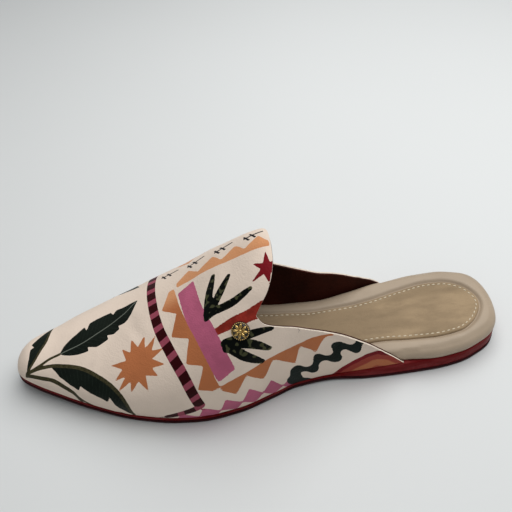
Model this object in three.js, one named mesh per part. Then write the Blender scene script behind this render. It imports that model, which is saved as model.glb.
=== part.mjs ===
// A flat pointed slipper without a back, left foot, standing empty on its sole.
// Millimetres. +X points to the toe, +Y to the wearer's left (the outer side), +Z up.
// The origin is at the bottom centre of the shoe. Stations are counted from the back of the heel.

import * as THREE from 'three';
import { mergeVertices } from 'three/addons/utils/BufferGeometryUtils.js';

// Driving dimensions
const LENGTH = 268; // back of the heel to the toe tip, along the outsole
const WIDTH_OUT = 41.2; // outer side at the ball
const WIDTH_IN = 40.5; // inner side at the ball
const VAMP_HEIGHT = 82; // instep over the heel end of the vamp, which the ridge follows
const WALL = 1.8; // printed leather and lining together
const GAP = 0.3; // clearance between pieces that are glued or sewn together
const FOOT_GAP = 0.6; // the same under the foot of the upper, whose facets lie apart
const OUTSOLE = 2.2; // thickness of the outsole sheet
const MIDSOLE_INSET = 0.5; // the midsole's edge stands back from the outsole's
const UPPER_INSET = 0.6; // foot of the upper, in from the outsole's edge
const BED_RADIUS = 4.2; // rounded upper edge of the footbed at the heel
const BELLY_AT = 0.2; // share of a half section that lies under the belly
const STUD_RADIUS = 4.6;
const STUD_HEIGHT = 1.5;

// The sole by stations: sideways bend of its middle line, half widths as shares of the
// ball's, height of the underside (arch and toe spring), thickness of outsole and midsole
// together, and height of the footbed's top
const SOLE = [
  { at: 0, bend: -4.7, out: 0, inn: 0, under: 0.5, red: 9.8, bed: 16.6 },
  { at: 3, bend: -4.5, out: 0.37, inn: 0.37, under: 0.2, red: 9.8, bed: 16.8 },
  { at: 8, bend: -4, out: 0.515, inn: 0.525, under: 0, red: 9.8, bed: 17 },
  { at: 15, bend: -3.2, out: 0.595, inn: 0.615, under: 0, red: 9.8, bed: 17 },
  { at: 27, bend: -2.1, out: 0.68, inn: 0.695, under: 0, red: 9.8, bed: 17 },
  { at: 42, bend: -1.1, out: 0.705, inn: 0.708, under: 0, red: 9.8, bed: 16.8 },
  { at: 62, bend: -0.5, out: 0.702, inn: 0.7, under: 0, red: 9.8, bed: 16.3 },
  { at: 80, bend: -0.1, out: 0.685, inn: 0.645, under: 0.2, red: 7.8, bed: 15.2 },
  { at: 99, bend: 0, out: 0.645, inn: 0.606, under: 0.8, red: 4, bed: 13.6 },
  { at: 117, bend: 0, out: 0.685, inn: 0.612, under: 0.5, red: 3.8, bed: 11.8 },
  { at: 130, bend: 0, out: 0.79, inn: 0.665, under: 0.2, red: 4, bed: 10.4 },
  { at: 149, bend: 0, out: 0.94, inn: 0.82, under: 0, red: 4.2, bed: 9.2 },
  { at: 168, bend: 0, out: 1, inn: 0.965, under: 0, red: 4.4, bed: 8.6 },
  { at: 182, bend: 0, out: 0.975, inn: 1, under: 0, red: 4.4, bed: 8.6 },
  { at: 202, bend: -0.2, out: 0.872, inn: 0.93, under: 0.2, red: 4.4, bed: 8.8 },
  { at: 228, bend: -0.7, out: 0.645, inn: 0.7, under: 1.8, red: 4.4, bed: 10.4 },
  { at: 246, bend: -1.1, out: 0.445, inn: 0.49, under: 3.8, red: 4.4, bed: 11.8 },
  { at: 257, bend: -1.3, out: 0.31, inn: 0.345, under: 5.2, red: 4.4, bed: 12.8 },
  { at: 265, bend: -1.4, out: 0.175, inn: 0.19, under: 6.2, red: 4.4, bed: 13.2 },
  { at: 268, bend: -1.4, out: 0, inn: 0, under: 6.6, red: 4.4, bed: 13.4 },
];

// The upper by stations: ridge line sideways and as a share of the vamp's height,
// how far the belly stands out past the foot of the upper and its height above it,
// and the power of the rounded section (2 is an ellipse, more is squarer)
const UPPER = [
  { at: 55, side: 0, ridge: 1.03, belly: -0.8, rise: 11, full: 2.5 },
  { at: 95, side: 0, ridge: 1.06, belly: 0, rise: 14, full: 2.5 },
  { at: 126, side: -1.6, ridge: 1.02, belly: 4.2, rise: 22, full: 2.6 },
  { at: 149, side: -3, ridge: 0.85, belly: 4.6, rise: 19, full: 2.45 },
  { at: 171, side: -4, ridge: 0.645, belly: 3, rise: 15, full: 2.3 },
  { at: 188, side: -4.5, ridge: 0.525, belly: 2.4, rise: 12.5, full: 2.25 },
  { at: 207, side: -5, ridge: 0.42, belly: 2, rise: 10, full: 2.2 },
  { at: 222, side: -5, ridge: 0.37, belly: 1.8, rise: 8.5, full: 2.2 },
  { at: 235, side: -4.5, ridge: 0.335, belly: 1.6, rise: 7.5, full: 2.2 },
  { at: 246, side: -4, ridge: 0.305, belly: 1.3, rise: 6, full: 2.1 },
  { at: 258, side: -3, ridge: 0.29, belly: 1.1, rise: 5, full: 2 },
  { at: 264, side: -2.2, ridge: 0.248, belly: 0.8, rise: 3, full: 2 },
  { at: 267, side: -1.6, ridge: 0.19, belly: 0.4, rise: 1.5, full: 2 },
  { at: 268, side: -1.4, ridge: 0.1, belly: 0, rise: 0, full: 2 },
];

// The collar: share of the girth, counted from either foot of the upper, and the station
// where the outer and the inner side end there
const COLLAR = [
  { girth: 0, out: 59.2, inn: 57.4 },
  { girth: 0.033, out: 63, inn: 59.4 },
  { girth: 0.066, out: 66.8, inn: 64 },
  { girth: 0.1, out: 71, inn: 70.6 },
  { girth: 0.12, out: 79.6, inn: 84 },
  { girth: 0.131, out: 84.3, inn: 91 },
  { girth: 0.138, out: 87.2, inn: 99 },
  { girth: 0.142, out: 88.9, inn: 118 },
  { girth: 0.15, out: 92.4, inn: 125.5 },
  { girth: 0.166, out: 101.5, inn: 128.5 },
  { girth: 0.182, out: 110, inn: 130.4 },
  { girth: 0.2, out: 117.2, inn: 132 },
  { girth: 0.225, out: 125.2, inn: 134 },
  { girth: 0.265, out: 133.2, inn: 135.6 },
  { girth: 0.3, out: 136, inn: 136 },
  { girth: 0.32, out: 133.6, inn: 133.6 },
  { girth: 0.35, out: 129.6, inn: 129.6 },
  { girth: 0.4, out: 126.4, inn: 126.4 },
  { girth: 0.45, out: 125, inn: 125 },
  { girth: 0.5, out: 124.6, inn: 124.6 },
];

const SOLE_STATIONS = 60;
const UPPER_STATIONS = 28;

// Length is walked by an angle, so that stations close up at both rounded ends
const angleAt = (station) => Math.acos(1 - (2 * station) / LENGTH);
const stationAt = (angle) => (LENGTH * (1 - Math.cos(angle))) / 2;

// A smooth curve through table rows that doesn't overshoot them
function curve(keys, values) {
  const step = keys.slice(1).map((key, i) => key - keys[i]);
  const rise = step.map((width, i) => (values[i + 1] - values[i]) / width);
  const slope = values.map((_, i) => {
    if (i === 0) return rise[0];
    if (i === values.length - 1) return rise[i - 1];
    if (rise[i - 1] * rise[i] <= 0) return 0;
    const a = 2 * step[i] + step[i - 1];
    const b = step[i] + 2 * step[i - 1];
    return (a + b) / (a / rise[i - 1] + b / rise[i]);
  });
  return (at) => {
    let i = 0;
    while (i < step.length - 1 && at > keys[i + 1]) i += 1;
    const t = THREE.MathUtils.clamp((at - keys[i]) / step[i], 0, 1);
    const bend = step[i] * t * (1 - t);
    const line = values[i] + (values[i + 1] - values[i]) * t * t * (3 - 2 * t);
    return line + bend * (slope[i] * (1 - t) - slope[i + 1] * t);
  };
}

const column = (table, name) => curve(
  table.map((row) => angleAt(row.at)),
  table.map((row) => row[name]),
);
const sole = Object.fromEntries(
  ['bend', 'out', 'inn', 'under', 'red', 'bed'].map((name) => [name, column(SOLE, name)]),
);
const last = Object.fromEntries(
  ['side', 'ridge', 'belly', 'rise', 'full'].map((name) => [name, column(UPPER, name)]),
);
const collar = Object.fromEntries(['out', 'inn'].map((name) => [
  name,
  curve(COLLAR.map((row) => row.girth), COLLAR.map((row) => row[name])),
]));

// How far sideways the sole's edge lies on the outer (1) or the inner (-1) side
function sideways(angle, side) {
  const half = side > 0 ? sole.out(angle) * WIDTH_OUT : sole.inn(angle) * WIDTH_IN;
  return sole.bend(angle) + side * half;
}

// A point of the sole's edge, moved in by an inset at right angles to the edge
function edge(angle, side, inset) {
  const plain = (a) => {
    const turned = a > Math.PI || a < 0;
    const way = turned ? -side : side;
    const folded = a > Math.PI ? 2 * Math.PI - a : Math.abs(a);
    return new THREE.Vector2(stationAt(folded), sideways(folded, way));
  };
  const small = 0.01;
  const along = plain(angle + small).sub(plain(angle - small)).normalize();
  const inward = new THREE.Vector2(along.y, -along.x).multiplyScalar(side);
  return plain(angle).addScaledVector(inward, inset);
}

// A closed solid through a row of closed rings; rings at its ends may shrink to a line
function loft(rings, capStart) {
  const size = rings[0].length;
  const corners = [];
  const quad = (a, b, c, d) => {
    [[a, b, c], [a, c, d]].forEach((three) => three.forEach((p) => corners.push(p.x, p.y, p.z)));
  };
  for (let i = 0; i + 1 < rings.length; i += 1) {
    for (let j = 0; j < size; j += 1) {
      const k = (j + 1) % size;
      quad(rings[i][j], rings[i][k], rings[i + 1][k], rings[i + 1][j]);
    }
  }
  if (capStart) {
    for (let j = 0; j + 1 < size / 2; j += 1) {
      const ring = rings[0];
      quad(ring[j], ring[size - 1 - j], ring[size - 2 - j], ring[j + 1]);
    }
  }
  return closed(corners);
}

// Joins shared corners and drops the faces that have shrunk to nothing
function closed(corners) {
  const loose = new THREE.BufferGeometry();
  loose.setAttribute('position', new THREE.Float32BufferAttribute(corners, 3));
  const joined = mergeVertices(loose, 1e-3);
  const order = joined.getIndex().array;
  const kept = [];
  for (let i = 0; i < order.length; i += 3) {
    const [a, b, c] = order.slice(i, i + 3);
    if (a !== b && b !== c && c !== a) kept.push(a, b, c);
  }
  joined.setIndex(kept);
  joined.computeVertexNormals();
  return joined;
}

const place = (station, y, z) => new THREE.Vector3(station - LENGTH / 2, y, z);

// A slab of the sole: a ring across it at each angle, from its profile of inset and height
function slab(profile) {
  const rings = [];
  for (let i = 0; i <= SOLE_STATIONS; i += 1) {
    const angle = (Math.PI * i) / SOLE_STATIONS;
    const rows = profile(angle);
    const side = (way) => rows.map(({ inset, z }) => {
      const point = edge(angle, way, inset);
      return place(point.x, point.y, z);
    });
    rings.push([...side(1), ...side(-1).reverse()]);
  }
  return loft(rings);
}

function outsole() {
  return slab((angle) => {
    const low = sole.under(angle);
    return [
      { inset: 0.5, z: low },
      { inset: 0, z: low + 0.5 },
      { inset: 0, z: low + OUTSOLE },
    ];
  });
}

function midsole() {
  return slab((angle) => {
    const low = sole.under(angle);
    return [
      { inset: MIDSOLE_INSET, z: low + OUTSOLE + GAP },
      { inset: MIDSOLE_INSET, z: low + sole.red(angle) },
    ];
  });
}

// The footbed is full width at the bare heel and stands inside the upper in front of it
const inside = curve([0, 50, 57, LENGTH], [0.6, 0.6, 4.2, 4.2]);

function footbed() {
  const turns = [0, 22.5, 45, 67.5, 90].map(THREE.MathUtils.degToRad);
  return slab((angle) => {
    const inset = inside(stationAt(angle));
    const low = sole.under(angle) + sole.red(angle) + GAP;
    const top = sole.bed(angle);
    const radius = Math.min(BED_RADIUS, (top - low) * 0.6);
    const round = turns.map((turn) => ({
      inset: inset + radius * (1 - Math.cos(turn)),
      z: top - radius * (1 - Math.sin(turn)),
    }));
    return [{ inset: inset + 0.6, z: low }, { inset, z: low + 0.8 }, ...round];
  });
}

// Outer skin of the upper: girth runs from 0 at the outer foot over the ridge to 1
function skin(angle, girth) {
  const side = girth <= 0.5 ? 1 : -1;
  const share = girth <= 0.5 ? 2 * girth : 2 * (1 - girth);
  const foot = edge(angle, side, UPPER_INSET);
  const other = edge(angle, -side, UPPER_INSET);
  const low = sole.under(angle) + sole.red(angle) + FOOT_GAP;
  const rise = last.rise(angle);
  const belly = last.belly(angle);
  const ridgeY = last.side(angle);
  const ridgeZ = Math.max(last.ridge(angle) * VAMP_HEIGHT, low);
  const station = foot.x + (((other.x - foot.x) / 2) * share);
  if (share < BELLY_AT) {
    const t = 1 - share / BELLY_AT;
    return place(station, foot.y + side * belly * (1 - t * t), low + rise * (1 - t));
  }
  const turn = ((share - BELLY_AT) / (1 - BELLY_AT)) * (Math.PI / 2);
  const power = 2 / last.full(angle);
  const bellyY = foot.y + side * belly;
  const bellyZ = low + rise;
  return place(
    station,
    ridgeY + (bellyY - ridgeY) * Math.max(Math.cos(turn), 0) ** power,
    bellyZ + (ridgeZ - bellyZ) * Math.sin(turn) ** power,
  );
}

function skinNormal(angle, girth) {
  if (angle > Math.PI - 1e-6) return new THREE.Vector3(1, 0, 0);
  const small = 0.004;
  const lowGirth = Math.max(girth - small, 0);
  const highGirth = Math.min(girth + small, 1);
  const along = skin(angle + small, girth).sub(skin(angle - small, girth));
  const across = skin(angle, highGirth).sub(skin(angle, lowGirth));
  return across.cross(along).normalize();
}

// Angle of a grid line's station: from the collar at this girth to the toe tip
function lineAngle(girth, share) {
  const start = girth <= 0.5 ? collar.out(girth) : collar.inn(1 - girth);
  return THREE.MathUtils.lerp(angleAt(start), Math.PI, share);
}

// The grid's lines along the upper: every collar row and one line halfway to the next
function girthLines() {
  const rows = COLLAR.map((row) => row.girth);
  const half = rows.flatMap((girth, i) => (i ? [(rows[i - 1] + girth) / 2, girth] : [girth]));
  return [...half, ...half.slice(0, -1).reverse().map((girth) => 1 - girth)];
}

function upper() {
  const girths = girthLines();
  const rings = [];
  for (let i = 0; i <= UPPER_STATIONS; i += 1) {
    const outside = [];
    const lining = [];
    for (const girth of girths) {
      const angle = lineAngle(girth, i / UPPER_STATIONS);
      const point = skin(angle, girth);
      const back = point.clone().addScaledVector(skinNormal(angle, girth), -WALL);
      const foot = skin(angle, 0).z;
      back.z = girth === 0 || girth === 1 ? foot : Math.max(back.z, foot);
      outside.push(point);
      lining.push(back);
    }
    rings.push([...outside, ...lining.reverse()]);
  }
  return loft(rings, true);
}

// The stud: a low domed button, set on the outer side of the vamp beside the collar
const STUD = { station: 144, girth: 0.292 };

function stud() {
  const profile = [
    [0, 0], [STUD_RADIUS, 0], [STUD_RADIUS, 0.5], [STUD_RADIUS * 0.8, 1.1],
    [STUD_RADIUS * 0.4, STUD_HEIGHT], [0, STUD_HEIGHT + 0.1],
  ].map(([x, y]) => new THREE.Vector2(x, y));
  const turned = new THREE.LatheGeometry(profile, 24);
  turned.deleteAttribute('uv');
  turned.deleteAttribute('normal');
  const corners = turned.toNonIndexed().getAttribute('position').array;
  return closed(Array.from(corners));
}

const finishes = {
  outsole: { color: 0x8c1a26, roughness: 0.45 },
  midsole: { color: 0x7a1420, roughness: 0.4 },
  footbed: { color: 0xc3a587, roughness: 0.55 },
  upper: { color: 0xe1d7c8, roughness: 0.5 },
  stud: { color: 0xc9a24a, roughness: 0.3, metalness: 1 },
};

const slipper = new THREE.Group();
const shapes = { outsole, midsole, footbed, upper, stud };
for (const [name, make] of Object.entries(shapes)) {
  const finish = { metalness: 0, ...finishes[name] };
  const piece = new THREE.Mesh(make(), new THREE.MeshStandardMaterial(finish));
  piece.name = name;
  slipper.add(piece);
}

const studSeat = angleAt(STUD.station);
const studOut = skinNormal(studSeat, STUD.girth);
const studMesh = slipper.getObjectByName('stud');
studMesh.quaternion.setFromUnitVectors(new THREE.Vector3(0, 1, 0), studOut);
studMesh.position.copy(skin(studSeat, STUD.girth)).addScaledVector(studOut, 2 * GAP);

// The widest points of the upper set the box, and the box's bottom centre is the origin
const box = new THREE.Box3().setFromObject(slipper, true);
const middle = box.getCenter(new THREE.Vector3());
slipper.position.set(-middle.x, -middle.y, -box.min.z);

export default slipper;
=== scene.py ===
"""Looks of a flat pointed slipper without a back, a left shoe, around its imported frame.

Tables and sizes are in millimetres and stations are counted from the back of the heel. Meshes
are in metres. The print is laid out on the upper's own plane: the station, and the way down
from the ridge, which is positive on the outer side.
"""
import math

import bmesh
import bpy
import numpy as np
from mathutils import Matrix, Vector


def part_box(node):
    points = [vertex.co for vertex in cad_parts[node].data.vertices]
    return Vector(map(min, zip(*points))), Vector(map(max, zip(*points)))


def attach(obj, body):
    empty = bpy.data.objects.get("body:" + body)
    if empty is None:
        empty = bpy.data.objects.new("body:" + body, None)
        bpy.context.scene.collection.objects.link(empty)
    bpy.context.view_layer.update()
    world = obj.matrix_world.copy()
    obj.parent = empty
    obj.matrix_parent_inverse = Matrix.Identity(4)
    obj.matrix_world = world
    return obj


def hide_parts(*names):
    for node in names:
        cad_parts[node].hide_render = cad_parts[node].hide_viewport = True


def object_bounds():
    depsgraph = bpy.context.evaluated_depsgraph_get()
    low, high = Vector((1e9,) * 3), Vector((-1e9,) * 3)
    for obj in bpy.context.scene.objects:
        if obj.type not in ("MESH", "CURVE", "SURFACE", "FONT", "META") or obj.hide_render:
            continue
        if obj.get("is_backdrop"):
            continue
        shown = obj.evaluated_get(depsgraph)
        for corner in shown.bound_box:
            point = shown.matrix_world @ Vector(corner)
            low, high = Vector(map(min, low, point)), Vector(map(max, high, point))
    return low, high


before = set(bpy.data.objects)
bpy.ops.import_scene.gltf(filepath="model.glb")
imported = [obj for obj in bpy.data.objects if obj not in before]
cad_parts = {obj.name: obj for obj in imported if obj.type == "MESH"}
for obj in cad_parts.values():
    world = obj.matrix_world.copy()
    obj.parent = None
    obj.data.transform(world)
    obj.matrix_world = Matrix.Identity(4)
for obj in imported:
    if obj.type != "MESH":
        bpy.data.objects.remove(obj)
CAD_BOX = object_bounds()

bl_info = {
    "name": "Printed slipper",
    "version": (1, 0, 0),
    "blender": (4, 5, 0),
    "location": "3D View > Sidebar > Slipper",
    "description": "Models the sole, footbed, sock, printed upper and stud of a flat slipper",
    "category": "Add Mesh",
}

MM = 0.001


# ---------------------------------------------------------------- tables of the shoe

def table(columns, rows):
    """The columns of a table by name, each as an array."""
    return dict(zip(columns.split(), np.array(rows, float).T))


# The sole: sideways bend of its middle line, half widths as shares of the ball's, height of
# the underside, thickness of outsole and midsole together, height of the footbed's top
SOLE = table("at bend out inn under red bed", [
    (0, -4.7, 0, 0, 0.5, 9.8, 16.6),
    (3, -4.5, 0.37, 0.37, 0.2, 9.8, 16.8),
    (8, -4, 0.515, 0.525, 0, 9.8, 17),
    (15, -3.2, 0.595, 0.615, 0, 9.8, 17),
    (27, -2.1, 0.68, 0.695, 0, 9.8, 17),
    (42, -1.1, 0.705, 0.708, 0, 9.8, 16.8),
    (62, -0.5, 0.702, 0.7, 0, 9.8, 16.3),
    (80, -0.1, 0.685, 0.645, 0.2, 7.8, 15.2),
    (99, 0, 0.645, 0.606, 0.8, 4, 13.6),
    (117, 0, 0.685, 0.612, 0.5, 3.8, 11.8),
    (130, 0, 0.79, 0.665, 0.2, 4, 10.4),
    (149, 0, 0.94, 0.82, 0, 4.2, 9.2),
    (168, 0, 1, 0.965, 0, 4.4, 8.6),
    (182, 0, 0.975, 1, 0, 4.4, 8.6),
    (202, -0.2, 0.872, 0.93, 0.2, 4.4, 8.8),
    (228, -0.7, 0.645, 0.7, 1.8, 4.4, 10.4),
    (246, -1.1, 0.445, 0.49, 3.8, 4.4, 11.8),
    (257, -1.3, 0.31, 0.345, 5.2, 4.4, 12.8),
    (265, -1.4, 0.175, 0.19, 6.2, 4.4, 13.2),
    (268, -1.4, 0, 0, 6.6, 4.4, 13.4),
])

# The upper: ridge line sideways and as a share of the vamp's height, how far the belly stands
# out and its height above the foot, power of the rounded section
UPPER = table("at side ridge belly rise full", [
    (55, 0, 1.03, -0.8, 11, 2.5),
    (95, 0, 1.06, 0, 14, 2.5),
    (126, -1.6, 1.02, 4.2, 22, 2.6),
    (149, -3, 0.85, 4.6, 19, 2.45),
    (171, -4, 0.645, 3, 15, 2.3),
    (188, -4.5, 0.525, 2.4, 12.5, 2.25),
    (207, -5, 0.42, 2, 10, 2.2),
    (222, -5, 0.37, 1.8, 8.5, 2.2),
    (235, -4.5, 0.335, 1.6, 7.5, 2.2),
    (246, -4, 0.305, 1.3, 6, 2.1),
    (258, -3, 0.29, 1.1, 5, 2),
    (264, -2.2, 0.248, 0.8, 3, 2),
    (267, -1.6, 0.19, 0.4, 1.5, 2),
    (268, -1.4, 0.1, 0, 0, 2),
])

# The collar: share of the girth from either foot, and where the outer and inner side end
COLLAR = table("girth out inn", [
    (0, 59.2, 57.4),
    (0.033, 63, 59.4),
    (0.066, 66.8, 64),
    (0.1, 71, 70.6),
    (0.12, 79.6, 84),
    (0.131, 84.3, 91),
    (0.138, 87.2, 99),
    (0.142, 88.9, 118),
    (0.15, 92.4, 125.5),
    (0.166, 101.5, 128.5),
    (0.182, 110, 130.4),
    (0.2, 117.2, 132),
    (0.225, 125.2, 134),
    (0.265, 133.2, 135.6),
    (0.3, 136, 136),
    (0.32, 133.6, 133.6),
    (0.35, 129.6, 129.6),
    (0.4, 126.4, 126.4),
    (0.45, 125, 125),
    (0.5, 124.6, 124.6),
])

# The sock pad's cut: its middle line sideways and its half width
PAD = table("at mid half", [
    (9.2, -2.6, 0),
    (12, -2.7, 8),
    (16.5, -2.3, 13),
    (26, -1.4, 17.6),
    (37, -0.7, 18.6),
    (53, 0.5, 16.8),
    (70, 1.5, 14.2),
    (82, 2, 13.6),
    (101, 2, 14),
    (120, 1, 16.4),
    (149, 1, 23),
    (180, 0, 26),
    (214, -1, 19),
    (238, -2, 9),
    (247, -2, 0),
])

LENGTH = round((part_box("outsole")[1].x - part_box("outsole")[0].x) / MM)
WIDTH_OUT = 41.2
WIDTH_IN = 40.5
VAMP_HEIGHT = 82
UPPER_INSET = 0.6  # the upper's foot, in from the sole's edge
BELLY_AT = 0.2  # share of the way up to the ridge where the belly stands out most
TUCK = 0.45  # how far the upper's foot turns in
TUCK_HEIGHT = 1.3  # how high up that begins


def curve(keys, values):
    """A smooth line through table rows that doesn't overshoot them."""
    keys, values = np.array(keys, float), np.array(values, float)
    step = np.diff(keys)
    rise = np.diff(values) / step
    slope = np.concatenate([rise[:1], np.zeros(len(keys) - 2), rise[-1:]])
    turning = rise[:-1] * rise[1:] <= 0
    first, second = (np.where(turning, 1, part) for part in (rise[:-1], rise[1:]))
    a, b = 2 * step[1:] + step[:-1], step[1:] + 2 * step[:-1]
    slope[1:-1] = np.where(turning, 0, (a + b) / (a / first + b / second))

    def at(place):
        i = np.clip(np.searchsorted(keys, place, side="right") - 1, 0, len(step) - 1)
        t = np.clip((place - keys[i]) / step[i], 0, 1)
        line = values[i] + (values[i + 1] - values[i]) * t * t * (3 - 2 * t)
        return line + step[i] * t * (1 - t) * (slope[i] * (1 - t) - slope[i + 1] * t)

    return at


class Outline:
    """A closed outline walked by an angle, 0 at its heel end and pi at its toe end."""

    def __init__(self, stations, bend, out, inn):
        self.start, self.end = stations[0], stations[-1]
        keys = self.angle(stations)
        self.bend, self.out, self.inn = (curve(keys, column) for column in (bend, out, inn))

    def angle(self, station):
        share = (np.asarray(station, float) - self.start) / (self.end - self.start)
        return np.arccos(np.clip(1 - 2 * share, -1, 1))

    def station(self, angle):
        return self.start + (self.end - self.start) * (1 - np.cos(angle)) / 2

    def plain(self, angle, side):
        """The edge's point at an angle that may run past either end and back the other side."""
        turned = (angle > np.pi) | (angle < 0)
        folded = np.where(angle > np.pi, 2 * np.pi - angle, np.abs(angle))
        way = np.where(turned, -side, side)
        half = np.where(way > 0, self.out(folded), self.inn(folded))
        return np.stack([self.station(folded), self.bend(folded) + way * half], -1)

    def edge(self, angle, side, inset=0.0):
        """The edge's point, moved in by an inset at right angles to the edge."""
        small = 0.01
        along = self.plain(angle + small, side) - self.plain(angle - small, side)
        along /= np.linalg.norm(along, axis=-1, keepdims=True)
        inward = np.stack([along[..., 1], -along[..., 0]], -1) * np.asarray(side)[..., None]
        return self.plain(angle, side) + inward * np.asarray(inset, float)[..., None]

    def distance(self, points, corners=480):
        """How far inside the outline each point lies; negative outside."""
        angle = np.linspace(0, np.pi, corners // 2 + 1)
        ring = np.concatenate([self.edge(angle, 1), self.edge(angle, -1)[-2:0:-1]])
        return -signed_distance(points, ring)


def signed_distance(points, corners):
    """Distance of each point to a closed outline through corners; negative inside."""
    near = np.full(len(points), np.inf)
    inside = np.zeros(len(points), bool)
    for a, b in zip(corners, np.roll(corners, -1, axis=0)):
        run = b - a
        offset = points - a
        share = np.clip(offset @ run / max(run @ run, 1e-12), 0, 1)
        gap = offset - share[:, None] * run
        near = np.minimum(near, (gap ** 2).sum(1))
        crosses = (points[:, 1] < a[1]) != (points[:, 1] < b[1])
        slant = run[0] * (points[:, 1] - a[1]) / (run[1] if run[1] else 1e-12) + a[0]
        inside ^= crosses & (points[:, 0] < slant)
    return np.where(inside, -1, 1) * np.sqrt(near)


SOLE_EDGE = Outline(SOLE["at"], SOLE["bend"], SOLE["out"] * WIDTH_OUT, SOLE["inn"] * WIDTH_IN)
PAD_EDGE = Outline(PAD["at"], PAD["mid"], PAD["half"], PAD["half"])
sole = {name: curve(SOLE_EDGE.angle(SOLE["at"]), SOLE[name]) for name in ("under", "red", "bed")}
last = {name: curve(SOLE_EDGE.angle(UPPER["at"]), UPPER[name]) for name in UPPER if name != "at"}
collar = {name: curve(COLLAR["girth"], COLLAR[name]) for name in ("out", "inn")}

# The frame's origin is the middle of the whole shoe's box, and the tables count from the heel
SHIFT = Vector((
    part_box("outsole")[0].x / MM,
    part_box("outsole")[1].y / MM - SOLE_EDGE.edge(np.linspace(0, np.pi, 721), 1)[:, 1].max(),
    0,
))


def midsole_top(angle):
    """Height of the midsole's top, where the footbed and the upper begin."""
    return sole["under"](angle) + sole["red"](angle)


# ---------------------------------------------------------------- settings a user may change

def length_property(name, description, default):
    """A size in millimetres."""
    return bpy.props.FloatProperty(
        name=name, description=description, default=default, min=0.0, max=20.0
    )


def colour_property(name, description, default):
    """A colour in linear light."""
    return bpy.props.FloatVectorProperty(
        name=name, description=description, default=default,
        subtype="COLOR", size=3, min=0.0, max=1.0,
    )


class SlipperSizes(bpy.types.PropertyGroup):
    """Sizes of the leather, the footbed and the seams, in millimetres"""

    wall: length_property("Upper wall", "Printed leather and lining together, in mm", 1.8)
    outsole: length_property("Outsole", "Thickness of the outsole sheet, in mm", 2.2)
    rim: length_property("Footbed rim", "How far the footbed's padded rim is crowned, in mm", 0.9)
    groove: length_property("Sock groove", "Depth of the pressed groove round the sock, in mm", 0.9)
    sock: length_property("Sock", "Thickness of the suede sock pad, in mm", 0.9)
    stitch: length_property("Stitch", "Pitch of the sock's stitches, in mm", 3.0)
    stud: length_property("Stud", "Radius of the stud, in mm", 4.6)


class SlipperColours(bpy.types.PropertyGroup):
    """Colours of the leathers, the print, the sole and the thread"""

    ground: colour_property("Ground", "Ivory ground of the print", (0.78, 0.65, 0.54))
    leaf: colour_property("Leaf", "Black-green of the leaves and plants", (0.008, 0.012, 0.0085))
    olive: colour_property("Olive", "Stems and ribs of the leaves", (0.058, 0.051, 0.024))
    orange: colour_property("Orange", "Starburst and bunting", (0.48, 0.165, 0.064))
    orchid: colour_property("Orchid", "Brushed band and diamonds", (0.51, 0.125, 0.215))
    crimson: colour_property("Crimson", "Small star and fan", (0.2, 0.008, 0.013))
    maroon: colour_property("Maroon", "Dark checks of the ribbon", (0.03, 0.0015, 0.0025))
    rose: colour_property("Rose", "Light checks of the ribbon", (0.3, 0.063, 0.095))
    lining: colour_property("Lining", "Brown lining leather", (0.048, 0.008, 0.004))
    cut_edge: colour_property("Cut edge", "Raw edge of the upper", (0.74, 0.64, 0.53))
    footbed: colour_property("Footbed", "Beige leather of the footbed", (0.41, 0.322, 0.232))
    sock: colour_property("Sock", "Taupe suede of the sock pad", (0.29, 0.21, 0.127))
    thread: colour_property("Thread", "Cream thread", (0.72, 0.62, 0.46))
    midsole: colour_property("Midsole", "Red of the sole's edge", (0.13, 0.004, 0.005))
    # Outsole colour: near-black painted shade standing in for the contact shadow under the sole; the
    # outsole itself is the same red as the midsole
    outsole: colour_property("Outsole", "Darker red of the outsole", (0.035, 0.004, 0.006))
    gilt: colour_property("Gilt", "Metal of the stud", (0.62, 0.42, 0.15))


def sizes():
    return bpy.context.scene.slipper_sizes


def colours():
    return bpy.context.scene.slipper_colours


# ---------------------------------------------------------------- mesh helpers

def grid(across, along):
    """A flat grid whose corners' x and y run from 0 to 1."""
    made = bmesh.new()
    bmesh.ops.create_grid(made, x_segments=across, y_segments=along, size=0.5)
    bmesh.ops.translate(made, vec=(0.5, 0.5, 0), verts=made.verts)
    return made


def shares(verts):
    """The x and y of a flat grid's corners, as arrays."""
    flat = np.array([v.co.xy for v in verts])
    return flat[:, 0], flat[:, 1]


def settle(verts, places):
    """Puts corners at places given in millimetres from the heel."""
    shift = np.array(SHIFT)
    for vert, spot in zip(verts, (places + shift) * MM):
        vert.co = spot


def finish_piece(made, name, materials, node):
    """Turns a bmesh into a smooth piece that rides on the shoe and stands for a node."""
    mesh = bpy.data.meshes.new(name)
    for face in made.faces:
        face.smooth = True
    made.to_mesh(mesh)
    made.free()
    for material in materials:
        mesh.materials.append(material)
    piece = bpy.data.objects.new(name, mesh)
    bpy.context.scene.collection.objects.link(piece)
    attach(piece, "root")
    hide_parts(node)
    return piece


SEAM_GAP = 0.004  # corners of a folded grid's seam lie closer than this
CORNER_GAP = 0.002  # and an edge shorter than this is a point


def weld(made):
    """Closes a folded grid's seams and ends and turns its faces outwards."""
    bmesh.ops.remove_doubles(made, verts=made.verts, dist=SEAM_GAP * MM)
    bmesh.ops.dissolve_degenerate(made, edges=made.edges, dist=CORNER_GAP * MM)
    bmesh.ops.recalc_face_normals(made, faces=made.faces)


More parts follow.
